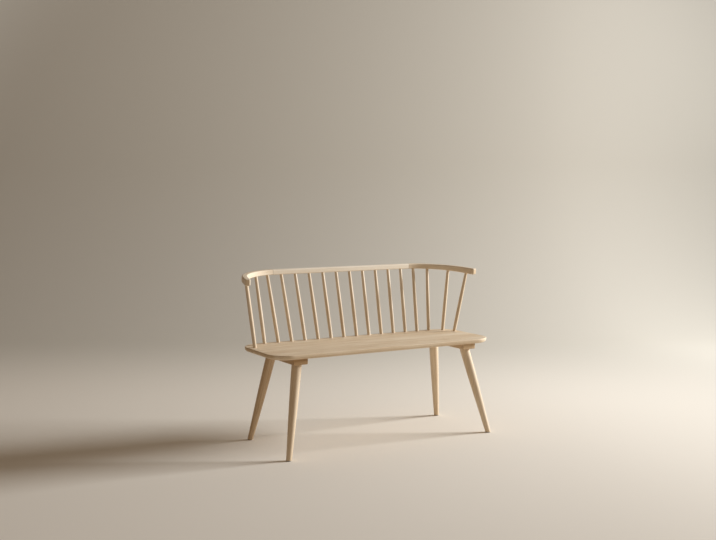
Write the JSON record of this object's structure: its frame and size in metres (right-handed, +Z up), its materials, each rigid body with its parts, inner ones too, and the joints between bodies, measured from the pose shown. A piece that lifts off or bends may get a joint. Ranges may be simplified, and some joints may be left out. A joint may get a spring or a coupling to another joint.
{
  "type": "dining bench",
  "caption": "Low-back dining bench in pale solid wood: rounded plank seat on splayed turned legs, with a row of thin spindles under a rail that bends forward into short arms.",
  "frame": {"origin": "on the floor under the middle of the whole bench", "axes": "+X along the bench to the sitter's left, +Y from the front to the back, +Z up"},
  "size_m": [1.2476, 0.5108, 0.7856],
  "materials": {
    "seat_wood": "clear satin lacquer",
    "frame_wood": "clear satin lacquer",
    "spindle_wood": "clear satin lacquer",
    "rail_wood": "clear satin lacquer",
    "dowel_wood": "bare",
    "screw_steel": "zinc plated",
    "glide_nylon": "moulded"
  },
  "bodies": {
    "root": {"seat_stave_1": "seat_wood", "seat_stave_2": "seat_wood", "seat_stave_3": "seat_wood", "seat_stave_4": "seat_wood", "seat_stave_5": "seat_wood", "batten_left": "frame_wood", "leg_front_left": "frame_wood", "leg_back_left": "frame_wood", "rail_arm_left": "rail_wood", "batten_right": "frame_wood", "leg_front_right": "frame_wood", "leg_back_right": "frame_wood", "rail_arm_right": "rail_wood", "rail_middle": "rail_wood", "spindle_01": "spindle_wood", "spindle_02": "spindle_wood", "spindle_03": "spindle_wood", "spindle_04": "spindle_wood", "spindle_05": "spindle_wood", "spindle_06": "spindle_wood", "spindle_07": "spindle_wood", "spindle_08": "spindle_wood", "spindle_09": "spindle_wood", "spindle_10": "spindle_wood", "spindle_11": "spindle_wood", "spindle_12": "spindle_wood", "spindle_13": "spindle_wood", "spindle_14": "spindle_wood", "spindle_15": "spindle_wood", "spindle_16": "spindle_wood", "spindle_17": "spindle_wood", "spindle_18": "spindle_wood", "rail_dowels": "dowel_wood", "batten_screws": "screw_steel", "foot_glides": "glide_nylon"}
  },
  "joints": []
}
